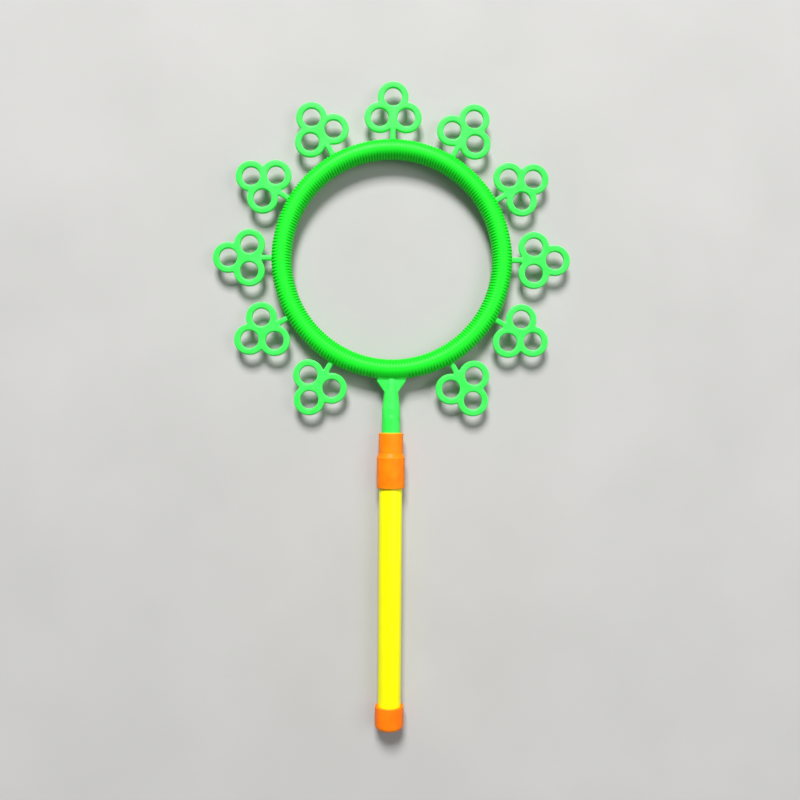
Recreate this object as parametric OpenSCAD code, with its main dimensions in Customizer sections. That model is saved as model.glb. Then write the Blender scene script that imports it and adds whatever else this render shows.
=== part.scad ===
// Bubble wand, lying flat as it is stored: a ribbed hoop with eleven three-ring lobes, on a tube handle.
// X runs across, Y runs from the end cap to the hoop, Z is up, and the wand rests on Z = 0.
// Lobe positions are numbered like the hours of a clock; the neck stands at six.

/* [Hoop] */
// Radius of the hoop's centre line
hoop_mid_r = 68.5; // [60:0.5:80]
// Diameter of the hoop's round section, over its ribs
hoop_d = 12.7; // [11:0.1:14.4]
// Depth of the grooves between the ribs
groove_depth = 1.2; // [0.6:0.1:1.6]
// Ribs in each twelfth of the hoop
ribs_per_hour = 19; // [12:1:22]
// Share of the rib pitch that is rib, the rest is groove
rib_share = 0.5; // [0.35:0.05:0.65]

/* [Trefoil lobes] */
// Bore of each small ring
small_bore_d = 11; // [9:0.1:12.2]
// Width of the small rings' wall
ring_wall = 4.1; // [3.2:0.1:5]
// Thickness of the flat lobes
lobe_t = 3; // [2:0.1:4]
// Distance between the centres of the two inner rings
pair_spacing = 16.5; // [15.2:0.1:18]
// Distance from the inner pair's line to the outer ring's centre
outer_ring_rise = 13; // [11.8:0.1:15]
// Gap from the hoop's ribs to the inner pair of rings, along the radius
lobe_gap = 3.9; // [3:0.1:8]
// Width of the stalk that carries a lobe
stalk_w = 3.4; // [2.4:0.1:4.6]

/* [Neck] */
// Width of the saddle and of the flare's top, across the hoop's rim
saddle_w = 18; // [14:0.5:22]
// Height of the saddle over the ribs
saddle_wall = 0.6; // [0.4:0.1:1]
// How far outside the hoop's centre line the saddle begins
saddle_start = 1.9; // [1:0.1:3]
// Thickness of the flare
flare_t = 6; // [4:0.5:8]
// Length of the flare, from the hoop's rim to the waist
flare_len = 7.6; // [6:0.2:12]
// Length of the flare's straight sides, next to the hoop
flare_side = 1.2; // [0.6:0.1:2]
// Diameter of the neck's waist
waist_d = 8.8; // [7:0.1:9.6]
// Length over which the neck thickens from the waist
taper_len = 11; // [6:0.5:16]
// Diameter of the neck's straight part and of its spigot
neck_d = 11.3; // [10:0.1:11.6]
// Length of the neck's straight part that shows
straight_len = 14.4; // [8:0.2:30]
// Chamfer on the spigot's end
spigot_chamfer = 0.8; // [0.4:0.1:1.4]

/* [Coupler] */
// Wall of the slim upper part, round the spigot
slim_wall = 1.9; // [1.2:0.1:2.6]
// Wall of the wide lower part, round the tube
wide_wall = 1.45; // [1:0.05:2.4]
// Length of the cone between the slim and the wide part
cone_len = 2.5; // [1.5:0.1:4]
// Length of full-width wall above the tube's end
shoulder_len = 1.1; // [0.5:0.1:3]
// Depth of the spigot's socket
spigot_depth = 14.3; // [9:0.1:24]
// Thickness of the stop ring between the two sockets
stop_ring_t = 2; // [1.5:0.1:3]
// Bore of the stop ring
stop_ring_bore_d = 8; // [5:0.1:9]
// Depth of the tube's socket
tube_socket_depth = 18.1; // [10:0.1:30]
// Rounding of the coupler's lower rim
rim_round = 0.9; // [0.3:0.1:1.2]
// Chamfer in the mouths of all three sockets
mouth_chamfer = 0.4; // [0.2:0.05:0.5]

/* [Handle tube] */
// Outer diameter of the tube
tube_d = 14.4; // [13:0.1:18]
// Wall of the tube
tube_wall = 1; // [0.8:0.1:1.4]
// Length of the tube
tube_len = 164; // [110:1:260]

/* [End cap] */
// Wall of the end cap, round the tube
cap_wall = 1.6; // [1.2:0.1:2.6]
// Thickness of the cap's floor
cap_floor_t = 2; // [1.4:0.1:3]
// Depth of the cap's socket
cap_socket_depth = 12.5; // [8:0.1:20]
// Rounding between the cap's side and its floor
cap_round = 3.2; // [1:0.1:3.4]

/* [Fits] */
// Radial gap between a turning or sliding piece and its socket
fit_gap = 0.05; // [0.02:0.01:0.1]

/* [Hidden] */

$fn = 96;
hours = 12;
neck_hour = hours / 2;
trefoil_hours = [for (hour = [1 : hours]) if (hour != neck_hour) hour];
hour_angle = 360 / hours;
cut_over = 1;

hoop_r = hoop_d / 2;
core_r = hoop_r - groove_depth;
ribs_n = hours * ribs_per_hour;
rib_pitch = 360 / ribs_n;
rib_pitch_len = PI * 2 * hoop_mid_r / ribs_n;
rim_r = hoop_mid_r + hoop_r;
// Pieces that grow out of the hoop start inside its core, at this share of the core's radius
root_share = 0.5;
root_r = hoop_mid_r + core_r * root_share;

small_bore_r = small_bore_d / 2;
small_ring_r = small_bore_r + ring_wall;
pair_r = rim_r + lobe_gap + small_ring_r;
outer_ring_r = pair_r + outer_ring_rise;
lobe_tip_r = outer_ring_r + small_ring_r;

saddle_r = hoop_r + saddle_wall;
waist_r = rim_r + flare_len;
neck_r = neck_d / 2;
straight_start_r = waist_r + taper_len;
mouth_r = straight_start_r + straight_len;
spigot_end_r = mouth_r + spigot_depth;

socket_r = neck_r + fit_gap;
tube_r = tube_d / 2;
tube_socket_r = tube_r + fit_gap;
slim_r = socket_r + slim_wall;
wide_r = tube_socket_r + wide_wall;
tube_top = spigot_end_r + stop_ring_t;
coupler_end = tube_top + tube_socket_depth;
coupler_round = min(rim_round, wide_wall - mouth_chamfer);
tube_end = tube_top + tube_len;
cap_r = tube_socket_r + cap_wall;
cap_len = cap_floor_t + cap_socket_depth;
wand_end = tube_end + cap_floor_t;

// The wand lies on its widest round piece, and its outline is centred on the origin
axis_z = max(cap_r, wide_r, saddle_r);
hoop_y = (wand_end - lobe_tip_r) / 2;

// Moves a shape drawn round the hoop's centre to the hoop's place
module at_hoop() translate([0, hoop_y, axis_z]) children();

// Turns a shape drawn at twelve o'clock to another hour
module at_hour(hour) rotate([0, 0, -hour * hour_angle]) children();

// Spins a profile, drawn as radius against the distance from the hoop's centre, about the wand's length
module wand_revolve() rotate([90, 0, 0]) rotate_extrude() children();

// One stretch of a ring with a round section, from one angle to another, zero being twelve o'clock
module ring_stretch(r, from, to) {
  rotate([0, 0, 90 + from])
    rotate_extrude(angle = to - from) translate([hoop_mid_r, 0]) circle(r = r);
}

// A rib's section radius and its two angles, for ribs counted from twelve o'clock
function rib(i) = [hoop_r, (i - rib_share / 2) * rib_pitch, (i + rib_share / 2) * rib_pitch];

// Joins stretches of ring, each given as its section radius and its two angles
module stretches(list) for (s = list) ring_stretch(s[0], s[1], s[2]);

// The stretch of hoop that lies under a piece of the given width at twelve o'clock, with a rib to spare at each end
module hoop_under(width) {
  spare_ribs = 1;
  reach = ceil(width / 2 / rib_pitch_len) + spare_ribs;
  half = (reach + rib_share) * rib_pitch;
  stretches(concat([[core_r, -half, half]], [for (i = [-reach : reach]) rib(i)]));
}

module hoop() {
  color("lime") at_hoop() stretches(concat([[core_r, 0, 360]], [for (i = [0 : ribs_n - 1]) rib(i)]));
}

// Centres of a lobe's three small rings at twelve o'clock
lobe_centres = [[-pair_spacing / 2, pair_r], [pair_spacing / 2, pair_r], [0, outer_ring_r]];

module lobe_outline() {
  for (c = lobe_centres) translate(c) circle(r = small_ring_r);
  polygon(lobe_centres);
  translate([-stalk_w / 2, root_r]) square([stalk_w, pair_r + ring_wall - root_r]);
}

module lobe() {
  difference() {
    translate([0, 0, -lobe_t / 2]) linear_extrude(lobe_t) lobe_outline();
    for (c = lobe_centres)
      translate([c[0], c[1], -lobe_t / 2 - cut_over]) cylinder(r = small_bore_r, h = lobe_t + 2 * cut_over);
    hoop_under(stalk_w);
  }
}

module trefoil(hour) color("palegreen") at_hoop() at_hour(hour) lobe();

// The smooth band that takes the neck's load into the hoop
module saddle() {
  reach = asin(min(1, saddle_w / hoop_mid_r));
  intersection() {
    ring_stretch(saddle_r, -reach, reach);
    translate([-saddle_w / 2, hoop_mid_r + saddle_start, -saddle_r])
      cube([saddle_w, saddle_r, 2 * saddle_r]);
  }
}

module flare() {
  side_end = rim_r + flare_side;
  translate([0, 0, -flare_t / 2]) linear_extrude(flare_t) polygon([
    [-saddle_w / 2, root_r],
    [saddle_w / 2, root_r],
    [saddle_w / 2, side_end],
    [waist_d / 2, waist_r],
    [-waist_d / 2, waist_r],
    [-saddle_w / 2, side_end]
  ]);
}

// The neck's round part with the spigot, drawn at twelve o'clock
module stem() {
  rotate([-90, 0, 0]) rotate_extrude() polygon([
    [0, hoop_mid_r],
    [waist_d / 2, hoop_mid_r],
    [waist_d / 2, waist_r],
    [neck_r, straight_start_r],
    [neck_r, spigot_end_r - spigot_chamfer],
    [neck_r - spigot_chamfer, spigot_end_r],
    [0, spigot_end_r]
  ]);
}

module neck() {
  color("palegreen") at_hoop() at_hour(neck_hour) difference() {
    union() {
      saddle();
      flare();
      stem();
    }
    hoop_under(saddle_w);
  }
}

module coupler() {
  color("darkorange") at_hoop() wand_revolve() difference() {
    union() {
      polygon([
        [0, mouth_r],
        [slim_r, mouth_r],
        [slim_r, tube_top - shoulder_len - cone_len],
        [wide_r, tube_top - shoulder_len],
        [wide_r, coupler_end - coupler_round],
        [wide_r - coupler_round, coupler_end],
        [0, coupler_end]
      ]);
      translate([wide_r - coupler_round, coupler_end - coupler_round]) circle(r = coupler_round);
    }
    polygon([
      [0, mouth_r - cut_over],
      [socket_r + mouth_chamfer, mouth_r - cut_over],
      [socket_r + mouth_chamfer, mouth_r],
      [socket_r, mouth_r + mouth_chamfer],
      [socket_r, spigot_end_r],
      [stop_ring_bore_d / 2, spigot_end_r],
      [stop_ring_bore_d / 2, tube_top],
      [tube_socket_r, tube_top],
      [tube_socket_r, coupler_end - mouth_chamfer],
      [tube_socket_r + mouth_chamfer, coupler_end],
      [tube_socket_r + mouth_chamfer, coupler_end + cut_over],
      [0, coupler_end + cut_over]
    ]);
  }
}

module handle_tube() {
  color("yellow") at_hoop() wand_revolve()
    translate([tube_r - tube_wall, tube_top]) square([tube_wall, tube_len]);
}

module end_cap() {
  rim = wand_end - cap_len;
  color("darkorange") at_hoop() wand_revolve() difference() {
    union() {
      translate([0, rim]) square([cap_r, cap_len - cap_round]);
      translate([0, rim]) square([cap_r - cap_round, cap_len]);
      translate([cap_r - cap_round, wand_end - cap_round]) circle(r = cap_round);
    }
    polygon([
      [0, rim - cut_over],
      [tube_socket_r + mouth_chamfer, rim - cut_over],
      [tube_socket_r + mouth_chamfer, rim],
      [tube_socket_r, rim + mouth_chamfer],
      [tube_socket_r, tube_end],
      [0, tube_end]
    ]);
  }
}

function trefoil_name(hour) = str("trefoil_", hour < 10 ? "0" : "", hour);

hoop();
for (hour = trefoil_hours)
  trefoil(hour);
neck();
coupler();
handle_tube();
end_cap();
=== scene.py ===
"""A bubble wand lying flat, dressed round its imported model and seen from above.

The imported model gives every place: the hoop's centre, the wand's long axis and both ends of each piece
are read from its nodes' boxes. Distances along the wand are counted down from the hoop's centre, towards
the end cap, and distances in a lobe are counted out from that centre. All lengths are in metres, written
as millimetres times MM.
"""

from __future__ import annotations

import logging
import math
from dataclasses import dataclass, field, replace
from enum import Enum

import bpy
import numpy as np
from mathutils import Euler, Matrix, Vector
from mathutils.geometry import tessellate_polygon


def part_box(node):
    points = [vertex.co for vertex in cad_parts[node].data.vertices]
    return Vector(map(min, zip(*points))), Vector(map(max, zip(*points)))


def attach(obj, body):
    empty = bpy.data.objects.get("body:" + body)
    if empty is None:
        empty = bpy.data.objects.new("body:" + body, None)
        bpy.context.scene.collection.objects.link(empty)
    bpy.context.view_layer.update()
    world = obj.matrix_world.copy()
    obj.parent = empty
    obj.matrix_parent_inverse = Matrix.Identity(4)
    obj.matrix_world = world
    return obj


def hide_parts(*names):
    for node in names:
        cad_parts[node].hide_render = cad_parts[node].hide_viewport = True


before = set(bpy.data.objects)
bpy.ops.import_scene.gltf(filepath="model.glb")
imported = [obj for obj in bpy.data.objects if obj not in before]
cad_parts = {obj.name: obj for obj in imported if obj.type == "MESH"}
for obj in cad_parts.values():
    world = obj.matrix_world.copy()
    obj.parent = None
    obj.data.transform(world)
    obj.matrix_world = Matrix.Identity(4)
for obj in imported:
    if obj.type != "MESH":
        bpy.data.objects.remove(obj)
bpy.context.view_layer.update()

MM = 0.001
FULL_TURN = 2 * math.pi
CLOCK_HOURS = 12
LOBE_NODE = "trefoil_"
LOG = logging.getLogger("bubble_wand")

Colour = tuple[float, float, float, float]
Point = tuple[float, float, float]
Range = tuple[float, float]
WHOLE: Range = (0.0, 1.0)


class Body(Enum):
    """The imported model's bodies, which the pieces ride on."""

    HANDLE = "handle"
    COLLAR = "collar"
    HEAD = "head"
    CAP = "cap"


class Slot(Enum):
    """The record's material slots, which each finish names."""

    HOOP = "hoop_green"
    LOBE = "lobe_green"
    TRIM = "trim_orange"
    TUBE = "tube_yellow"


class Tint(Enum):
    """Names of the point attributes that a finish can read, which place its painted highlight and painted
    shade.
    """

    NONE = ""
    PAINTED_GROOVE_SHADE = "rib_crown"
    PAINTED_EDGE_HIGHLIGHT = "edge"


# Surfaces


@dataclass
class Shell:
    """One closed surface as whole arrays, before it becomes a mesh.

    Attributes:
        points: One row of x, y, z for each point.
        quads: One row of four point numbers for each four-sided face.
        tris: One row of three point numbers for each triangle.
        tints: A value for each point, under the name of its attribute.
    """

    points: np.ndarray
    quads: np.ndarray
    tris: np.ndarray = field(default_factory=lambda: np.empty((0, 3), int))
    tints: dict[Tint, np.ndarray] = field(default_factory=dict)

    def volume(self) -> float:
        """Works out the signed volume.

        It is the sum over the triangles of corner one, dotted with corner two crossed with corner three,
        over six.

        Returns:
            The volume, negative where the faces point inwards.
        """
        halves = (self.quads[:, [0, 1, 2]], self.quads[:, [0, 2, 3]], self.tris)
        a, b, c = (self.points[np.concatenate(halves)[:, corner]] for corner in range(3))
        return float(np.einsum("ij,ij->i", a, np.cross(b, c)).sum() / 6)

    def outward(self) -> Shell:
        """Turns the faces round if they point inwards.

        Returns:
            The same surface, faces outwards.
        """
        if self.volume() >= 0:
            return self
        return Shell(self.points, self.quads[:, ::-1], self.tris[:, ::-1], self.tints)


def grid_quads(rows: int, cols: int, wrap_rows: bool = False, wrap_cols: bool = False) -> np.ndarray:
    """Numbers the quads of a grid of points that is stored row after row.

    Args:
        rows: How many rows of points the grid has.
        cols: How many points each row has.
        wrap_rows: True if the last row joins the first.
        wrap_cols: True if each row's last point joins its first.

    Returns:
        One row of four point numbers for each quad.
    """
    row = np.arange(rows if wrap_rows else rows - 1)[:, None]
    col = np.arange(cols if wrap_cols else cols - 1)[None, :]
    below, beside = (row + 1) % rows, (col + 1) % cols
    corners = (row * cols + col, below * cols + col, below * cols + beside, row * cols + beside)
    return np.stack(np.broadcast_arrays(*corners), axis=-1).reshape(-1, 4)


def fan(pole: int, ring: np.ndarray) -> np.ndarray:
    """Numbers the triangles that close a ring of points on one pole."""
    return np.stack([np.full(ring.size, pole), ring, np.roll(ring, -1)], axis=1)


def closed_tube(rings: np.ndarray, start: np.ndarray, end: np.ndarray) -> Shell:
    """Closes a stack of rings with a pole at each end.

    Args:
        rings: Points in an array of ring, place on the ring and coordinate.
        start: The pole before the first ring.
        end: The pole after the last ring.

    Returns:
        The closed surface, faces outwards.
    """
    rows, cols = rings.shape[:2]
    points = np.vstack([rings.reshape(-1, 3), start, end])
    first, last = np.arange(cols), np.arange(cols) + (rows - 1) * cols
    tris = np.vstack([fan(rows * cols, first), fan(rows * cols + 1, last[::-1])])
    quads = grid_quads(rows, cols, wrap_cols=True)
    return Shell(points, quads, tris[:, ::-1]).outward()


def rounded(corners: np.ndarray, radii: np.ndarray, steps: int = 7) -> np.ndarray:
    """Rounds the corners of a line of straight stretches, each with a circular arc.

    Each arc is a weighted quadratic curve from where the arc begins, over the corner, to where it ends: the
    corner's weight is the cosine of half the angle that the line turns by, which makes the curve part of a
    circle. The arc begins at the radius times the tangent of that half angle before the corner.

    Args:
        corners: The corners, one row each, with the line's ends first and last, which stay sharp.
        radii: The radius at each corner.
        steps: Points on each arc.

    Returns:
        The rounded line's points, and a third column that rises from 0 to 1 and falls again along each
        arc that turns the way the line turns on the whole, and is 0 elsewhere: where the painted edge
        highlight goes.
    """
    inner, radius = corners[1:-1], radii[1:-1]
    back, ahead = corners[:-2] - inner, corners[2:] - inner
    turn = back[:, 0] * ahead[:, 1] - back[:, 1] * ahead[:, 0]
    back /= np.linalg.norm(back, axis=1, keepdims=True)
    ahead /= np.linalg.norm(ahead, axis=1, keepdims=True)
    half_turn = np.arccos(np.clip(-(back * ahead).sum(axis=1), -1, 1)) / 2
    reach = (radius * np.tan(half_turn))[:, None]
    t = np.linspace(0, 1, steps)[None, :, None]
    weight = np.cos(half_turn)[:, None, None]
    before, over, after = (1 - t) ** 2, 2 * t * (1 - t) * weight, t**2
    begin, finish = (inner + back * reach)[:, None], (inner + ahead * reach)[:, None]
    arcs = before * begin + over * inner[:, None] + after * finish
    arcs /= before + over + after
    outer = (np.sign(turn) == np.sign(turn.sum()))[:, None]
    # Mask for the painted edge highlight on outward rounded corners.
    edge = np.sin(np.pi * t[..., 0]) * outer
    line = np.vstack([corners[:1], arcs.reshape(-1, 2), corners[-1:]])
    return np.column_stack([line, np.concatenate([[0], edge.ravel(), [0]])])


def smooth_max(a: np.ndarray, b: np.ndarray, blend: float) -> np.ndarray:
    """Gives the larger of two values, eased by a parabola where they differ by less than blend."""
    near = np.maximum(blend - np.abs(a - b), 0) / blend
    return np.maximum(a, b) + near**2 * blend / 4


def smooth_min(a: np.ndarray, b: np.ndarray, blend: float) -> np.ndarray:
    """Gives the smaller of two values, eased by a parabola where they differ by less than blend."""
    return -smooth_max(-a, -b, blend)


def eased(share: np.ndarray) -> np.ndarray:
    """Eases a share, held between 0 and 1, at both ends: three times its square less twice its cube."""
    held = np.clip(share, 0, 1)
    return held * held * (3 - 2 * held)


# Finishes


class Graph:
    """A material's nodes, with one short call to add a node and join it up."""

    MIX_FACTOR, MIX_FROM, MIX_TO, MIX_RESULT = 0, 6, 7, 2

    def __init__(self, name: str) -> None:
        """Makes the material.

        Args:
            name: The material's name.
        """
        self.material = bpy.data.materials.new(name)
        self.material.use_nodes = True
        self.tree = self.material.node_tree
        self.shader = next(n for n in self.tree.nodes if n.type == "BSDF_PRINCIPLED")

    def set(self, node: bpy.types.Node, inputs: dict) -> None:
        """Sets or joins a node's inputs.

        Args:
            node: The node.
            inputs: For each input's name or number, a value to set or an output to join.
        """
        for key, value in inputs.items():
            if isinstance(value, bpy.types.NodeSocket):
                self.tree.links.new(value, node.inputs[key])
            else:
                node.inputs[key].default_value = value

    def add(self, kind: str, inputs: dict, **settings: object) -> bpy.types.Node:
        """Adds a node.

        Args:
            kind: Blender's name for the kind of node, after ShaderNode.
            inputs: As for set.
            **settings: The node's own settings.

        Returns:
            The new node.
        """
        node = self.tree.nodes.new("ShaderNode" + kind)
        for key, value in settings.items():
            setattr(node, key, value)
        self.set(node, inputs)
        return node

    def noise(self, place: bpy.types.NodeSocket, size: float, detail: float = 2.0) -> bpy.types.NodeSocket:
        """Gives a cloudy value between about 0.3 and 0.7, in clouds of the given size."""
        return self.add("TexNoise", {"Vector": place, "Scale": 1 / size, "Detail": detail}).outputs["Fac"]

    def spread(self, value: bpy.types.NodeSocket, source: Range, target: Range) -> bpy.types.NodeSocket:
        """Moves a value from one range to another, held inside it.

        Args:
            value: The value.
            source: Its range.
            target: The range that it is moved to.

        Returns:
            The moved value's output.
        """
        inputs = {"Value": value, "From Min": source[0], "From Max": source[1]}
        inputs |= {"To Min": target[0], "To Max": target[1]}
        return self.add("MapRange", inputs).outputs["Result"]

    def mix(self, factor: object, start: object, end: object) -> bpy.types.NodeSocket:
        """Mixes two colours, each an output or a fixed colour."""
        inputs = {self.MIX_FACTOR: factor, self.MIX_FROM: start, self.MIX_TO: end}
        return self.add("Mix", inputs, data_type="RGBA").outputs[self.MIX_RESULT]


@dataclass(frozen=True)
class Plastic:
    """A moulded or extruded plastic.

    Soft clouds carry the colour from its deep to its pale shade, as uneven filling of the mould does. A
    finer noise moves the roughness, and the finest is a faint grain in relief. Handling marks are long
    thin streaks, rougher and paler than the rest. Rounded edges and rib crowns turn to the rim's paler
    colour: a painted highlight on the edges, and painted shade left in the grooves between the ribs.

    Attributes:
        name: The material's name.
        slot: The record's slot that it belongs to; not used.
        deep: The darker shade, linear.
        pale: The lighter shade, linear.
        rim: The paler colour of handling streaks, of the painted highlight on rounded edges, and of rib
            crowns against the painted shade in their grooves, linear.
        painted_light_share: How far the painted highlight or groove shade turns a place to that colour.
        painted_light_tint: The point attribute that says where the painted highlight or shade goes.
        roughness: Roughness between the marks.
        roughness_drift: How far the roughness moves up and down.
        cloud: Size of the colour's clouds.
        cloud_range: Part of the clouds' noise over which the colour goes from deep to pale.
        cloud_detail: How many finer clouds are in them.
        drift_share: Size of the roughness's clouds against the colour's.
        drift_range: Part of that noise over which the roughness moves.
        drift_detail: How many finer clouds are in it.
        grain: Size of the grain.
        grain_height: Height of the grain.
        streaks: How often streaks come, from 0, never.
        streak_length: Length of a streak against its width, along the wand.
        streak_w: Width of a streak.
        streak_range: Part of the streaks' noise over which a streak fades in.
        streak_rough: How much rougher a full streak is.
        patch: Size of the patches that streaks come in.
        patch_range: Part of the patches' noise over which a patch fades in.
        specular: How strongly the plastic mirrors, where 0.5 is usual.
    """

    name: str
    slot: Slot
    deep: Colour
    pale: Colour
    rim: Colour
    painted_light_share: float = 0.0
    painted_light_tint: Tint = Tint.NONE
    roughness: float = 0.4
    roughness_drift: float = 0.05
    cloud: float = 9.0 * MM
    cloud_range: Range = (0.32, 0.68)
    cloud_detail: float = 3.0
    drift_share: float = 0.25
    drift_range: Range = (0.3, 0.7)
    drift_detail: float = 4.0
    grain: float = 0.35 * MM
    grain_height: float = 0.006 * MM
    streaks: float = 0.3
    streak_length: float = 14.0
    streak_w: float = 0.9 * MM
    streak_range: Range = (0.62, 0.7)
    streak_rough: float = 0.25
    patch: float = 24.0 * MM
    patch_range: Range = (0.45, 0.62)
    specular: float = 0.25

    def marks(self, graph: Graph, place: bpy.types.NodeSocket) -> bpy.types.NodeSocket:
        """Adds the handling marks: streaks stretched along the wand, times the patches that they come in.

        Args:
            graph: The material's graph.
            place: Its Object coordinates.

        Returns:
            The output that says how full a streak is at a place.
        """
        stretch = {"Vector": place, "Scale": (1, 1 / self.streak_length, 1)}
        along = graph.add("Mapping", stretch).outputs["Vector"]
        lines = graph.noise(along, self.streak_w)
        patches = graph.spread(graph.noise(place, self.patch), self.patch_range, (0, self.streaks))
        marks = graph.spread(lines, self.streak_range, WHOLE)
        return graph.add("Math", {0: marks, 1: patches}, operation="MULTIPLY").outputs[0]

    def build(self) -> Graph:
        """Makes the material.

        Returns:
            Its graph, so that a piece can add marks of its own.
        """
        graph = Graph(self.name)
        place = graph.add("TexCoord", {}).outputs["Object"]
        clouds = graph.spread(graph.noise(place, self.cloud, self.cloud_detail), self.cloud_range, WHOLE)
        colour = graph.mix(clouds, self.deep, self.pale)
        marks = self.marks(graph, place)
        colour = graph.mix(marks, colour, self.rim)
        # Painted highlight on rounded edges, and painted shade in the hoop's grooves, which keep the deeper
        # colour.
        if self.painted_light_tint is not Tint.NONE:
            tint = graph.add("Attribute", {}, attribute_name=self.painted_light_tint.value).outputs["Fac"]
            colour = graph.mix(graph.spread(tint, WHOLE, (0, self.painted_light_share)), colour, self.rim)
        smooth, rough = self.roughness - self.roughness_drift, self.roughness + self.roughness_drift
        patchy = graph.noise(place, self.cloud * self.drift_share, self.drift_detail)
        drift = graph.spread(patchy, self.drift_range, (smooth, rough))
        rougher = {0: marks, 1: self.streak_rough, 2: drift}
        roughness = graph.add("Math", rougher, operation="MULTIPLY_ADD").outputs[0]
        bump = {"Height": graph.noise(place, self.grain), "Distance": self.grain_height, "Strength": 1.0}
        relief = graph.add("Bump", bump).outputs["Normal"]
        graph.set(graph.shader, {"Base Color": colour, "Roughness": roughness, "Normal": relief})
        graph.set(graph.shader, {"Specular IOR Level": self.specular})
        return graph


# Crowns turn to the rim's paler colour and the grooves keep the deeper one: painted shade in the grooves.
HOOP_GREEN = Plastic(
    name="hoop_green_plastic",
    slot=Slot.HOOP,
    deep=(0.000, 0.56, 0.004, 1),
    pale=(0.001, 0.64, 0.008, 1),
    rim=(0.008, 0.76, 0.022, 1),
    painted_light_share=0.85,
    painted_light_tint=Tint.PAINTED_GROOVE_SHADE,
    roughness=0.46,
    specular=0.20,
)
# Rounded edges turn to the rim's paler colour: a painted highlight.
LOBE_GREEN = Plastic(
    name="lobe_green_plastic",
    slot=Slot.LOBE,
    deep=(0.030, 0.80, 0.068, 1),
    pale=(0.052, 0.90, 0.105, 1),
    rim=(0.110, 0.95, 0.170, 1),
    painted_light_share=0.5,
    painted_light_tint=Tint.PAINTED_EDGE_HIGHLIGHT,
    roughness=0.40,
    specular=0.25,
    cloud=6.0 * MM,
)
# Rounded outer corners turn to the rim's paler colour: a painted highlight.
TRIM_ORANGE = Plastic(
    name="trim_orange_plastic",
    slot=Slot.TRIM,
    deep=(0.93, 0.195, 0.001, 1),
    pale=(1.00, 0.250, 0.002, 1),
    rim=(1.00, 0.42, 0.012, 1),
    painted_light_share=0.8,
    painted_light_tint=Tint.PAINTED_EDGE_HIGHLIGHT,
    roughness=0.44,
    specular=0.15,
)
# A darker copy of the trim's orange with less edge highlight: painted shade, for the less light on the cap.
CAP_SHADED_ORANGE = replace(
    TRIM_ORANGE,
    name="cap_orange_painted_shade",
    deep=(0.92, 0.165, 0.002, 1),
    pale=(0.99, 0.205, 0.003, 1),
    painted_light_share=0.2,
)
TUBE_YELLOW = Plastic(
    name="tube_yellow_plastic",
    slot=Slot.TUBE,
    deep=(0.92, 0.890, 0.0005, 1),
    pale=(0.96, 0.935, 0.0015, 1),
    rim=(1.00, 0.98, 0.08, 1),
    roughness=0.36,
    cloud=14.0 * MM,
    streaks=0.25,
    streak_length=60.0,
    specular=0.2,
)


def place_piece(
    name: str,
    shell: Shell,
    graph: Graph,
    body: Body,
    nodes: list[str],
) -> bpy.types.Object:
    """Makes a piece of a shell, dresses it and hands it to the frame.

    Args:
        name: The piece's name.
        shell: Its surface.
        graph: The finish's graph, whose material it wears.
        body: The body that it rides on.
        nodes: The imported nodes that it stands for.

    Returns:
        The finished object.
    """
    mesh = bpy.data.meshes.new(name)
    mesh.from_pydata(shell.points.tolist(), [], shell.quads.tolist() + shell.tris.tolist())
    mesh.polygons.foreach_set("use_smooth", np.arange(len(mesh.polygons)) < len(shell.quads))
    for tint, values in shell.tints.items():
        layer = mesh.attributes.new(tint.value, "FLOAT", "POINT")
        layer.data.foreach_set("value", values.astype(np.float32))
    mesh.materials.append(graph.material)
    piece = bpy.data.objects.new(name, mesh)
    bpy.context.scene.collection.objects.link(piece)
    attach(piece, body.value)
    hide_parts(*nodes)
    LOG.info("%s: %d faces on %s", name, len(mesh.polygons), body.value)
    return piece


# The wand


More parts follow.
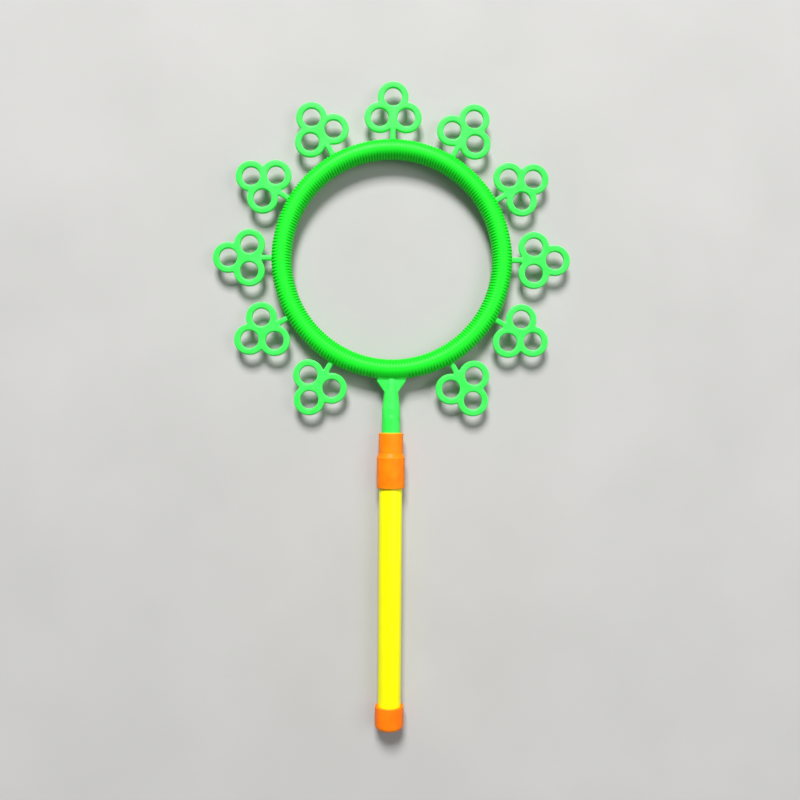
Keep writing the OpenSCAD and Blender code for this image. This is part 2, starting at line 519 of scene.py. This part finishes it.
@dataclass(frozen=True)
class Layout:
    """Where the wand's round pieces lie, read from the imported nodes' boxes.

    Attributes:
        hoop_y: The hoop's centre along the wand.
        axis_z: Height of the wand's long axis and of the hoop's flat middle.
        rim_r: The hoop's outer radius, over its ribs.
        section_r: Radius of the hoop's round section, over its ribs.
        hours: The hours of the clock at which lobes stand.
    """

    hoop_y: float
    axis_z: float
    rim_r: float
    section_r: float
    hours: tuple[int, ...]

    @classmethod
    def from_frame(cls) -> Layout:
        """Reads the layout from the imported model.

        Returns:
            The layout.
        """
        low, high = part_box("hoop")
        lobes = [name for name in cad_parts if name.startswith(LOBE_NODE)]
        hours = sorted(int(name.removeprefix(LOBE_NODE)) for name in lobes)
        return cls(
            hoop_y=(low[1] + high[1]) / 2,
            axis_z=(low[2] + high[2]) / 2,
            rim_r=(high[0] - low[0]) / 2,
            section_r=(high[2] - low[2]) / 2,
            hours=tuple(hours),
        )

    @property
    def mid_r(self) -> float:
        """Radius of the hoop's centre line."""
        return self.rim_r - self.section_r

    def ends(self, node: str) -> tuple[float, float]:
        """Distances down from the hoop's centre to a node's near and far end."""
        low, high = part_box(node)
        return self.hoop_y - high[1], self.hoop_y - low[1]

    def outer_r(self, node: str) -> float:
        """Outer radius of a round node, half its box's width."""
        low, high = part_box(node)
        return (high[0] - low[0]) / 2

    def revolve(self, profile: np.ndarray, steps: int = 96) -> Shell:
        """Turns a profile about the wand's long axis.

        For each angle a, a profile point at distance d and radius r goes to x = r cos(a), y = hoop_y - d,
        z = axis_z + r sin(a). A profile that starts on the axis also ends on it, and gets a pole at each
        end. Any other profile is a loop.

        Args:
            profile: Rows of distance down from the hoop's centre, radius and edge share.
            steps: How many angles there are in a full turn.

        Returns:
            The closed surface, with the edge share as the tint that places the painted edge highlight.
        """
        has_poles = bool(profile[0, 1] == 0)
        angle = np.arange(steps) / steps * FULL_TURN
        body = profile[1:-1] if has_poles else profile
        d, r, edge = body[:, :1], body[:, 1:2], np.repeat(body[:, 2], steps)
        x, z = r * np.cos(angle), self.axis_z + r * np.sin(angle)
        rings = np.stack([x, np.broadcast_to(self.hoop_y - d, x.shape), z], axis=-1)
        if not has_poles:
            quads = grid_quads(len(body), steps, wrap_rows=True, wrap_cols=True)
            return Shell(rings.reshape(-1, 3), quads, tints={Tint.PAINTED_EDGE_HIGHLIGHT: edge}).outward()
        start, end = (np.array([0, self.hoop_y - profile[row, 0], self.axis_z]) for row in (0, -1))
        shell = closed_tube(rings, start, end)
        shell.tints[Tint.PAINTED_EDGE_HIGHLIGHT] = np.concatenate([edge, [0, 0]])
        return shell


@dataclass
class Hoop:
    """The round hoop, with fine ribs across it that hold the soap water.

    Attributes:
        layout: The wand's layout.
        ribs: Ribs round the hoop, counted from twelve o'clock.
        groove_depth: Depth of the grooves between them, on the hoop's inner and outer flank.
        crest_share: Share of that depth which is left on the hoop's crest and underside.
        flank_cosines: Cosines of the section's angles at which the grooves begin to deepen and are at full
            depth.
        crown_share: Share of the pitch that is a rib's flat crown.
        foot_share: Share of the pitch between the feet of a rib's two flanks.
        band_w: Width of the smooth band that the neck grows from, at six o'clock.
        band_out: How far outside the hoop's centre line that band begins.
        band_fade: Length over which the grooves run out into the band.
        section_steps: Points round the hoop's section.
    """

    layout: Layout
    ribs: int = 228
    groove_depth: float = 0.48 * MM
    crest_share: float = 0.03
    flank_cosines: Range = (0.25, 0.85)
    crown_share: float = 0.50
    foot_share: float = 0.80
    band_w: float = 18.0 * MM
    band_out: float = 4.8 * MM
    band_fade: float = 1.2 * MM
    section_steps: int = 44

    def crowns(self, phase: np.ndarray) -> np.ndarray:
        """Gives the height share at a phase of the pitch.

        It is 1 on the crown, 0 between the feet of two ribs, and follows three times the square less
        twice the cube between them. Phase 0 is the middle of a rib.
        """
        return eased((self.foot_share / 2 - np.abs(phase)) / (self.foot_share - self.crown_share) * 2)

    def depths(self, u: np.ndarray, v: np.ndarray) -> np.ndarray:
        """Gives the grooves' depth at an angle round the hoop and an angle of the section.

        It is least on the crest, and eases to its full value between the two flank cosines of v. In the
        band at six o'clock it eases to nothing: the band is where the distance across, mid_r sin(u), is
        under half its width and the distance out, section_r cos(v), is over its beginning. On the upper
        half of the clock mid_r is added to the distance across, so there is no second band at twelve.

        Args:
            u: Angles round the hoop, from twelve o'clock.
            v: Angles round the section, from its outer side.

        Returns:
            A depth for each pair of angles.
        """
        near, far = self.flank_cosines
        flank = eased((np.abs(np.cos(v)) - near) / (far - near))
        across = np.abs(self.layout.mid_r * np.sin(u)) + self.layout.mid_r * (np.cos(u) > 0)
        beside = eased(1 - (across - self.band_w / 2) / self.band_fade)
        below = eased(1 - (self.band_out - self.layout.section_r * np.cos(v)) / self.band_fade)
        share = self.crest_share + (1 - self.crest_share) * flank
        return self.groove_depth * share * (1 - beside * below)

    def shell(self) -> Shell:
        """Works out the ribbed ring.

        A point is at angle u round the hoop, from twelve o'clock, and angle v round the section: with
        r = section_r - depth(u, v) * (1 - crown(u)) and q = mid_r + r cos(v), it is x = -q sin(u),
        y = hoop_y + q cos(u), z = axis_z + r sin(v).

        Returns:
            The surface, with a tint that falls from 1 on a crown to 0 on the deepest floor, which places
            the painted shade in the grooves.
        """
        foot, crown = self.foot_share / 2, self.crown_share / 2
        middle = (foot + crown) / 2
        half_pitch = 0.5
        phases = np.array([-half_pitch, -foot, -middle, -crown, 0, crown, middle, foot])
        u = ((np.arange(self.ribs)[:, None] + phases) / self.ribs * FULL_TURN).ravel()[:, None]
        v = (np.arange(self.section_steps) / self.section_steps * FULL_TURN)[None, :]
        raised = np.tile(self.crowns(phases), self.ribs)[:, None]
        sunk = self.depths(u, v) * (1 - raised)
        r = self.layout.section_r - sunk
        q = self.layout.mid_r + r * np.cos(v)
        z = self.layout.axis_z + r * np.sin(v)
        points = np.stack([-q * np.sin(u), self.layout.hoop_y + q * np.cos(u), z], axis=-1)
        quads = grid_quads(u.size, v.size, wrap_rows=True, wrap_cols=True)
        # Painted shade: the grooves get a low tint and stay darker than the crowns.
        tint = 1 - sunk.ravel() / self.groove_depth
        return Shell(points.reshape(-1, 3), quads, tints={Tint.PAINTED_GROOVE_SHADE: tint}).outward()

    def build(self) -> bpy.types.Object:
        """Makes the hoop's piece."""
        return place_piece("hoop_ribbed", self.shell(), HOOP_GREEN.build(), Body.HEAD, ["hoop"])


@dataclass
class Lobes:
    """The flat lobes that stand round the hoop, each of three small rings on a stalk.

    Attributes:
        layout: The wand's layout.
        bore_r: Radius of a small ring's bore.
        wall: Width of a small ring's wall.
        pair_spacing: Distance between the centres of the two inner rings.
        ring_rise: Distance from the inner pair's line to the outer ring's centre.
        gap: Gap from the hoop's rim to the inner pair of rings.
        stalk_w: Width of the stalk.
        thick: Thickness of the lobe.
        edge_r: Radius of the rounded edges.
        fillet: Reach of the fillets where rings and stalk meet.
        spacing: Distance between points along the outline.
        rays: Rays on which the outline is looked for.
        halvings: How often each ray's stretch is halved.
        edge_steps: Points on the quarter circle of an edge.
    """

    layout: Layout
    bore_r: float = 5.5 * MM
    wall: float = 4.1 * MM
    pair_spacing: float = 16.5 * MM
    ring_rise: float = 13.0 * MM
    gap: float = 3.9 * MM
    stalk_w: float = 3.4 * MM
    thick: float = 3.0 * MM
    edge_r: float = 1.3 * MM
    fillet: float = 1.1 * MM
    spacing: float = 0.3 * MM
    rays: int = 6000
    halvings: int = 40
    edge_steps: int = 7

    @property
    def ring_r(self) -> float:
        """Outer radius of a small ring."""
        return self.bore_r + self.wall

    @property
    def pair_out(self) -> float:
        """Distance from the hoop's centre out to the inner pair's line."""
        return self.layout.rim_r + self.gap + self.ring_r

    @property
    def root_out(self) -> float:
        """Distance from the hoop's centre out to the stalk's root, inside the hoop."""
        return self.layout.mid_r + self.layout.section_r / 2

    def centres(self) -> np.ndarray:
        """Centres of the three small rings, across and out from the hoop's centre."""
        half, pair = self.pair_spacing / 2, self.pair_out
        return np.array([[-half, pair], [half, pair], [0, pair + self.ring_rise]])

    def distance(self, x: np.ndarray, out: np.ndarray) -> np.ndarray:
        """Gives about how far a point lies outside the lobe's outline, or inside it where negative.

        The three discs and the stalk are joined by smooth minima of their own distances: the distance to
        a centre less the ring's radius, and the larger of the distances past the stalk's side and its two
        ends.

        Args:
            x: Places across.
            out: Places out from the hoop's centre.

        Returns:
            A distance for each place.
        """
        discs = [np.hypot(x - cx, out - cy) - self.ring_r for cx, cy in self.centres()]
        ends = np.maximum(self.root_out - out, out - self.pair_out - self.wall)
        stalk = np.maximum(np.abs(x) - self.stalk_w / 2, ends)
        joined = smooth_min(smooth_min(discs[0], discs[1], self.fillet), discs[2], self.fillet)
        return smooth_min(joined, stalk, self.fillet)

    def outline(self) -> np.ndarray:
        """Finds the outline by halving along rays from the lobe's middle, then spaces its points evenly.

        The middle is that of the three rings' centres, a third of the rise over the pair's line. On each
        ray the stretch that holds the outline is halved again and again, all rays at once.

        Returns:
            The outline's points, anticlockwise, across and out from the hoop's centre.
        """
        middle = self.pair_out + self.ring_rise / 3
        angle = np.linspace(0, FULL_TURN, self.rays)
        near, far = np.zeros_like(angle), np.full_like(angle, middle - self.root_out + self.wall)
        for _ in range(self.halvings):
            half = (near + far) / 2
            inside = self.distance(half * np.cos(angle), middle + half * np.sin(angle)) < 0
            near, far = np.where(inside, half, near), np.where(inside, far, half)
        x, out = near * np.cos(angle), middle + near * np.sin(angle)
        run = np.concatenate([[0], np.cumsum(np.hypot(np.diff(x), np.diff(out)))])
        steps = np.linspace(0, run[-1], int(run[-1] / self.spacing), endpoint=False)
        return np.stack([np.interp(steps, run, x), np.interp(steps, run, out)], axis=1)

    def bore(self, centre: np.ndarray) -> np.ndarray:
        """Gives a bore's circle, clockwise, so that the plastic is on its left as along the outline.

        Args:
            centre: The bore's centre, across and out.

        Returns:
            The circle's points.
        """
        steps = int(FULL_TURN * self.bore_r / self.spacing)
        angle = -np.arange(steps) / steps * FULL_TURN
        return centre + self.bore_r * np.stack([np.cos(angle), np.sin(angle)], axis=1)

    def plate(self) -> Shell:
        """Works out the flat lobe at twelve o'clock, about the hoop's centre.

        Each loop, the outline or a bore, carries the same edge profile: a quarter circle from the flat
        top to the side, and another to the flat underside. The profile lies along the loop's own normal,
        which is its direction turned a quarter turn clockwise. The two flats are filled between the
        loops' first and last rows.

        Returns:
            The surface, with a tint that rises from 0 on the flats to 1 on the sides, which places the
            painted highlight there.
        """
        turn = np.linspace(0, FULL_TURN / 4, self.edge_steps)
        edge = np.concatenate([np.sin(turn), np.sin(turn)[::-1]])
        inset = edge * self.edge_r - self.edge_r
        rise = self.thick / 2 - self.edge_r + np.cos(turn) * self.edge_r
        height = np.concatenate([rise, -rise[::-1]])
        loops = [self.outline()] + [self.bore(centre) for centre in self.centres()]
        points, quads, tints, tops, offset = [], [], [], [], 0
        for loop in loops:
            along = np.roll(loop, -1, axis=0) - np.roll(loop, 1, axis=0)
            along /= np.linalg.norm(along, axis=1, keepdims=True)
            normal = np.stack([along[:, 1], -along[:, 0]], axis=1)
            flat = loop[:, None] + normal[:, None] * inset[None, :, None]
            level = np.broadcast_to(height, flat.shape[:2])[..., None]
            points.append(np.concatenate([flat, level], axis=2).reshape(-1, 3))
            quads.append(grid_quads(len(loop), inset.size, wrap_rows=True) + offset)
            tints.append(np.tile(edge, len(loop)))
            tops.append(offset + np.arange(len(loop)) * inset.size)
            offset += len(loop) * inset.size
        points = np.concatenate(points)
        order = np.concatenate(tops)
        fill = order[np.array(tessellate_polygon([points[top].tolist() for top in tops]))]
        a, b, c = (points[fill[:, corner], :2] for corner in range(3))
        ab, ac = b - a, c - a
        facing_down = ab[:, 0] * ac[:, 1] < ab[:, 1] * ac[:, 0]
        fill[facing_down] = fill[facing_down][:, ::-1]
        under = fill[:, ::-1] + inset.size - 1
        sides = np.concatenate(quads)[:, ::-1]
        return Shell(points, sides, np.vstack([fill, under]), {Tint.PAINTED_EDGE_HIGHLIGHT: np.concatenate(tints)})

    def at_hour(self, plate: Shell, hour: int) -> Shell:
        """Turns the plate to its hour about the hoop's centre and lifts it to the wand's axis.

        Args:
            plate: The lobe at twelve o'clock.
            hour: The hour.

        Returns:
            The lobe in its place.
        """
        angle = -hour * FULL_TURN / CLOCK_HOURS
        x, out, z = plate.points.T
        turned = np.stack(
            [
                x * math.cos(angle) - out * math.sin(angle),
                self.layout.hoop_y + x * math.sin(angle) + out * math.cos(angle),
                self.layout.axis_z + z,
            ],
            axis=1,
        )
        return Shell(turned, plate.quads, plate.tris, plate.tints).outward()

    def build(self) -> list[bpy.types.Object]:
        """Makes one piece for each lobe, all in one material.

        Returns:
            The pieces, in the order of their hours.
        """
        plate, graph = self.plate(), LOBE_GREEN.build()
        pieces = []
        for hour in self.layout.hours:
            name, node = f"lobe_{hour:02d}", f"{LOBE_NODE}{hour:02d}"
            shell = self.at_hour(plate, hour)
            pieces.append(place_piece(name, shell, graph, Body.HEAD, [node]))
        return pieces


@dataclass
class Neck:
    """The neck: a flat flare on the hoop's smooth band, a waist and the round stem with its spigot.

    Attributes:
        layout: The wand's layout.
        flare_w: Width of the flare's top, that of the smooth band on the hoop.
        flare_t: Thickness of the flare.
        flare_side: Length of the flare's straight sides, next to the hoop.
        flare_len: Length of the flare, from the rim to the waist.
        flare_fade: Length past the waist over which the flare runs out into the stem.
        flare_power: Power that sets how square the flare's section is.
        sunk_w: Half the width that the flare is left with inside the stem.
        fillet: Radius of the hollow between the hoop and the flare's flat sides.
        blend: Reach of the soft line where stem and flare meet.
        root_r: Radius of the stem where it leaves the hoop.
        waist_r: Radius of the waist.
        taper_len: Length over which the stem thickens.
        stem_r: Radius of the stem's straight part.
        chamfer: Chamfer on the spigot's end.
        knee: Length of the fine rows on either side of the taper's end.
        lead: Gap from the straight part's last row to the chamfer.
        rows: Rows of points beside the hoop, on the flare, the taper, the knee, the straight part and the
            chamfer.
        around: Points in a row.
        gate_down: How far below the hoop's centre the mark of the mould's gate is.
        gate_r: Radius of that mark.
        gate_core: Share of that radius inside which the mark is even.
        gate_share: How far the mark turns to the rim's shade.
        gate_height: Height of the mark.
    """

    layout: Layout
    flare_w: float = 18.0 * MM
    flare_t: float = 4.4 * MM
    flare_side: float = 1.2 * MM
    flare_len: float = 7.6 * MM
    flare_fade: float = 3.0 * MM
    flare_power: int = 8
    sunk_w: float = 0.2 * MM
    fillet: float = 2.0 * MM
    blend: float = 0.5 * MM
    root_r: float = 2.5 * MM
    waist_r: float = 4.4 * MM
    taper_len: float = 11.0 * MM
    stem_r: float = 5.65 * MM
    chamfer: float = 0.8 * MM
    knee: float = 1.0 * MM
    lead: float = 0.1 * MM
    rows: tuple[int, ...] = (12, 44, 16, 8, 10, 4)
    around: int = 120
    gate_down: float = 97.7 * MM
    gate_r: float = 1.1 * MM
    gate_core: float = 0.6
    gate_share: float = 0.7
    gate_height: float = 0.08 * MM

    def stem(self) -> Shell:
        """Works out the flare and the stem as one surface of distance d and angle a round the wand's axis.

        The radius is the smooth maximum of the round stem's and the flare's. The stem's goes straight
        from point to point. The flare's is that of a box with rounded corners, the eighth root of one
        over the sum of the eighth powers of cos(a) over its half width and sin(a) over its half
        thickness. The half width is steady next to the hoop, then falls in a straight line, past the
        waist as well, until the stem has swallowed it. The half thickness follows a hollow quarter circle
        near the hoop, whose centre lies a fillet off both the hoop's round and the flare's flat side.

        Returns:
            The closed surface.
        """
        layout = self.layout
        side_end = layout.rim_r + self.flare_side
        waist = layout.rim_r + self.flare_len
        straight = waist + self.taper_len
        end = layout.ends("neck")[1]
        bevel = end - self.chamfer
        start = layout.mid_r + layout.section_r / 2
        stops = (
            (start, side_end),
            (side_end, waist + self.flare_fade),
            (waist + self.flare_fade, straight - self.knee),
            (straight - self.knee, straight + self.knee),
            (straight + self.knee, bevel - self.lead),
        )
        runs = [np.linspace(*stop, rows, endpoint=False) for stop, rows in zip(stops, self.rows)]
        runs.append(np.linspace(bevel, end, self.rows[-1]))
        d = np.concatenate(runs)[:, None]
        a = (np.arange(self.around) / self.around * FULL_TURN)[None, :]
        radii = [self.root_r, self.waist_r, self.stem_r, self.stem_r, self.stem_r - self.chamfer]
        stem_r = np.interp(d, [start, waist, straight, bevel, end], radii)
        slope = (self.flare_w / 2 - self.waist_r) / (waist - side_end)
        half_w = np.clip(self.flare_w / 2 - slope * (d - side_end), self.sunk_w, self.flare_w / 2)
        half_t, reach = self.flare_t / 2, layout.section_r + self.fillet
        hollow_out = math.sqrt(reach**2 - (half_t + self.fillet) ** 2)
        hollow = np.clip(layout.mid_r + hollow_out - d, 0, hollow_out * self.fillet / reach)
        half_t = half_t + self.fillet - np.sqrt(self.fillet**2 - hollow**2)
        power = self.flare_power
        across, upward = (np.abs(np.cos(a)) / half_w) ** power, (np.abs(np.sin(a)) / half_t) ** power
        flare_r = (across + upward) ** (-1 / power)
        r = smooth_max(np.broadcast_to(stem_r, flare_r.shape), flare_r, self.blend)
        y = np.broadcast_to(layout.hoop_y - d, r.shape)
        rings = np.stack([r * np.cos(a), y, layout.axis_z + r * np.sin(a)], axis=-1)
        poles = (np.array([0, layout.hoop_y - at, layout.axis_z]) for at in (start, end))
        return closed_tube(rings, *poles)

    def mark_gate(self, graph: Graph) -> None:
        """Adds the small pale disc that the mould's gate left on top of the stem.

        Args:
            graph: The stem's finish, whose colour and relief get the disc.
        """
        layout = self.layout
        gate = (0, layout.hoop_y - self.gate_down, layout.axis_z + self.stem_r)
        place = graph.add("TexCoord", {}).outputs["Object"]
        away = graph.add("VectorMath", {0: place, 1: gate}, operation="DISTANCE").outputs["Value"]
        disc = graph.spread(away, (self.gate_r, self.gate_r * self.gate_core), (0, self.gate_share))
        colour = graph.shader.inputs["Base Color"].links[0].from_socket
        relief = graph.shader.inputs["Normal"].links[0].from_socket
        bump = {"Height": disc, "Distance": self.gate_height, "Strength": 1.0, "Normal": relief}
        marked, raised = graph.mix(disc, colour, LOBE_GREEN.rim), graph.add("Bump", bump).outputs["Normal"]
        graph.set(graph.shader, {"Base Color": marked, "Normal": raised})

    def build(self) -> bpy.types.Object:
        """Makes the neck's piece, with its gate mark.

        Returns:
            The piece.
        """
        graph = LOBE_GREEN.build()
        self.mark_gate(graph)
        return place_piece("neck_stem", self.stem(), graph, Body.HEAD, ["neck"])


@dataclass
class Coupler:
    """The stepped collar between the neck's spigot and the tube.

    Attributes:
        layout: The wand's layout.
        slim_r: Outer radius of its upper part.
        spigot_r: Radius of the spigot's socket.
        stop_r: Radius of the stop ring's bore.
        tube_r: Radius of the tube's socket.
        cone_len: Length of the cone between its upper and lower part.
        shoulder_len: Length of full-width wall above the tube's end.
        rim_r: Rounding of its lower rim.
        soft_r: Rounding of its other outer corners.
        lip_r: Rounding of its mouth's inner corner.
        sharp_r: Rounding of its other inner corners.
        seat_gap: Hairline between the stop ring and the tube's cut end.
    """

    layout: Layout
    slim_r: float = 7.6 * MM
    spigot_r: float = 5.7 * MM
    stop_r: float = 4.0 * MM
    tube_r: float = 7.25 * MM
    cone_len: float = 2.5 * MM
    shoulder_len: float = 1.1 * MM
    rim_r: float = 0.9 * MM
    soft_r: float = 0.7 * MM
    lip_r: float = 0.5 * MM
    sharp_r: float = 0.25 * MM
    seat_gap: float = 0.02 * MM

    def profile(self) -> np.ndarray:
        """Lists the wall's section as a loop, from the middle of the stop ring's bore round.

        Returns:
            Rows of distance down from the hoop's centre, radius and edge share.
        """
        mouth, end = self.layout.ends("coupler")
        spigot_end, tube_top = self.layout.ends("neck")[1], self.layout.ends("handle_tube")[0]
        wide_r = self.layout.outer_r("coupler")
        shoulder = tube_top - self.shoulder_len
        stop_mid = (spigot_end + tube_top) / 2
        seat = tube_top - self.seat_gap
        corners = np.array([
            (stop_mid, self.stop_r, 0),
            (spigot_end, self.stop_r, self.sharp_r),
            (spigot_end, self.spigot_r, self.sharp_r),
            (mouth, self.spigot_r, self.lip_r),
            (mouth, self.slim_r, self.soft_r),
            (shoulder - self.cone_len, self.slim_r, self.soft_r),
            (shoulder, wide_r, self.soft_r),
            (end, wide_r, self.rim_r),
            (end, self.tube_r, self.sharp_r),
            (seat, self.tube_r, self.sharp_r),
            (seat, self.stop_r, self.sharp_r),
            (stop_mid, self.stop_r, 0),
        ])
        return rounded(corners[:, :2], corners[:, 2])[:-1]

    def build(self) -> bpy.types.Object:
        """Makes the coupler's piece."""
        shell, graph = self.layout.revolve(self.profile()), TRIM_ORANGE.build()
        return place_piece("coupler_collar", shell, graph, Body.COLLAR, ["coupler"])


@dataclass
class HandleTube:
    """The extruded tube that the hand holds.

    Attributes:
        layout: The wand's layout.
        wall: Thickness of its wall.
        edge_r: Rounding of its cut ends.
    """

    layout: Layout
    wall: float = 1.0 * MM
    edge_r: float = 0.25 * MM

    def profile(self) -> np.ndarray:
        """Lists the wall's section as a loop, from the middle of the bore round.

        Returns:
            Rows of distance down from the hoop's centre, radius and edge share.
        """
        top, end = self.layout.ends("handle_tube")
        outer = self.layout.outer_r("handle_tube")
        inner = outer - self.wall
        seam = ((top + end) / 2, inner)
        corners = np.array([seam, (top, inner), (top, outer), (end, outer), (end, inner), seam])
        return rounded(corners, np.full(len(corners), self.edge_r))[:-1]

    def build(self) -> bpy.types.Object:
        """Makes the tube's piece."""
        shell, graph = self.layout.revolve(self.profile()), TUBE_YELLOW.build()
        return place_piece("tube_handle", shell, graph, Body.HANDLE, ["handle_tube"])


@dataclass
class EndCap:
    """The cup that closes the tube's lower end.

    Attributes:
        layout: The wand's layout.
        socket_r: Radius of its socket.
        bottom_r: Rounding between its side and its bottom.
        rim_r: Rounding of its rim.
        edge_steps: Points on each rounded corner.
    """

    layout: Layout
    socket_r: float = 7.25 * MM
    bottom_r: float = 3.2 * MM
    rim_r: float = 0.5 * MM
    edge_steps: int = 12

    def profile(self) -> np.ndarray:
        """Lists the cup's section from the bottom's middle, up the outside and down the socket to the axis.

        Returns:
            Rows of distance down from the hoop's centre, radius and edge share.
        """
        rim, end = self.layout.ends("end_cap")
        floor = self.layout.ends("handle_tube")[1]
        outer = self.layout.outer_r("end_cap")
        corners = np.array([
            (end, 0, 0),
            (end, outer, self.bottom_r),
            (rim, outer, self.rim_r),
            (rim, self.socket_r, self.rim_r),
            (floor, self.socket_r, self.rim_r),
            (floor, 0, 0),
        ])
        return rounded(corners[:, :2], corners[:, 2], steps=self.edge_steps)

    def build(self) -> bpy.types.Object:
        """Makes the cap's piece."""
        shell, graph = self.layout.revolve(self.profile()), CAP_SHADED_ORANGE.build()
        return place_piece("cap_end", shell, graph, Body.CAP, ["end_cap"])


# The studio


@dataclass
class Studio:
    """The pale floor, the soft lights and the camera.

    Attributes:
        floor_half: Half the floor's side.
        floor_gap: How far the floor lies under the wand.
        floor_deep: The floor's darker shade, linear.
        floor_pale: Its lighter shade, linear.
        floor_cloud: Size of the clouds that carry it from one to the other.
        floor_range: Part of the clouds' noise over which it does.
        floor_detail: How many finer clouds are in them.
        floor_rough: The floor's roughness.
        camera_at: Where the camera is.
        camera_turn: The camera's turns about x, y and z, in degrees, where none looks straight down.
        camera_near: Nearest distance that the camera shows.
        sensor: Width of the camera's sensor, in millimetres.
        view_px: Width of the photograph's frame, in pixels.
        focal_px: Focal length in the same pixels.
        sky: Strength of the even light from all round.
        sky_colour: Its colour, linear.
        key_at: Where the light on the hoop's side hangs.
        key_size: Its side.
        key_power: Its power, in watts.
        fill_at: Where the light on the right hangs.
        fill_size: Its side.
        fill_power: Its power, in watts.
    """

    floor_half: float = 6.0
    floor_gap: float = 0.1 * MM
    floor_deep: Colour = (0.440, 0.436, 0.424, 1)
    floor_pale: Colour = (0.475, 0.470, 0.458, 1)
    floor_cloud: float = 90.0 * MM
    floor_range: Range = (0.3, 0.7)
    floor_detail: float = 4.0
    floor_rough: float = 0.85
    camera_at: Point = (-5.0 * MM, -6.15 * MM, 528.3 * MM)
    camera_turn: Point = (0.90, -1.16, 0.37)
    camera_near: float = 1.0 * MM
    sensor: float = 36.0
    view_px: float = 800.0
    focal_px: float = 838.0
    sky: float = 0.22
    sky_colour: Colour = (0.96, 0.98, 1.0, 1)
    key_at: Point = (-0.22, 2.25, 2.34)
    key_size: float = 1.0
    key_power: float = 154.0
    fill_at: Point = (1.3, 0.2, 1.8)
    fill_size: float = 1.2
    fill_power: float = 13.0

    def floor(self) -> bpy.types.Object:
        """Lays the floor, one square face in a pale grey that drifts a little.

        Returns:
            The floor.
        """
        half, low = self.floor_half, -self.floor_gap
        corners = [(-half, -half, low), (half, -half, low), (half, half, low), (-half, half, low)]
        mesh = bpy.data.meshes.new("floor")
        mesh.from_pydata(corners, [], [(0, 1, 2, 3)])
        graph = Graph("floor_paint")
        place = graph.add("TexCoord", {}).outputs["Object"]
        clouds = graph.noise(place, self.floor_cloud, self.floor_detail)
        drift = graph.spread(clouds, self.floor_range, WHOLE)
        colour = graph.mix(drift, self.floor_deep, self.floor_pale)
        graph.set(graph.shader, {"Base Color": colour, "Roughness": self.floor_rough})
        mesh.materials.append(graph.material)
        floor = bpy.data.objects.new("floor", mesh)
        bpy.context.scene.collection.objects.link(floor)
        return floor

    def soft_light(self, name: str, at: Point, size: float, power: float) -> bpy.types.Object:
        """Hangs a square light that faces the wand's middle.

        Args:
            name: The light's name.
            at: Where it hangs.
            size: Its side.
            power: Its power, in watts.

        Returns:
            The light.
        """
        lamp = bpy.data.lights.new(name, "AREA")
        lamp.size, lamp.energy = size, power
        light = bpy.data.objects.new(name, lamp)
        light.location = at
        light.rotation_euler = (-Vector(at)).to_track_quat("-Z", "Y").to_euler()
        bpy.context.scene.collection.objects.link(light)
        return light

    def build(self) -> None:
        """Lays the floor, lights it and sets up the camera."""
        self.floor()
        self.soft_light("key_light", self.key_at, self.key_size, self.key_power)
        self.soft_light("fill_light", self.fill_at, self.fill_size, self.fill_power)
        world = bpy.data.worlds.new("sky")
        world.use_nodes = True
        background = next(n for n in world.node_tree.nodes if n.type == "BACKGROUND")
        background.inputs["Color"].default_value = self.sky_colour
        background.inputs["Strength"].default_value = self.sky
        scene = bpy.context.scene
        scene.world = world
        scene.view_settings.view_transform = "Standard"
        lens = bpy.data.cameras.new("camera")
        lens.sensor_width = self.sensor
        lens.lens = self.sensor * self.focal_px / self.view_px
        lens.clip_start = self.camera_near
        camera = bpy.data.objects.new("camera", lens)
        camera.location = self.camera_at
        camera.rotation_euler = Euler([math.radians(turn) for turn in self.camera_turn])
        scene.collection.objects.link(camera)
        scene.camera = camera
        LOG.info("studio: focal length %.1f mm", lens.lens)


def main() -> None:
    logging.basicConfig(level=logging.INFO, format="%(name)s %(message)s")
    layout = Layout.from_frame()
    for maker in (Hoop, Lobes, Neck, Coupler, HandleTube, EndCap):
        maker(layout).build()
    Studio().build()


if __name__ == "__main__":
    main()
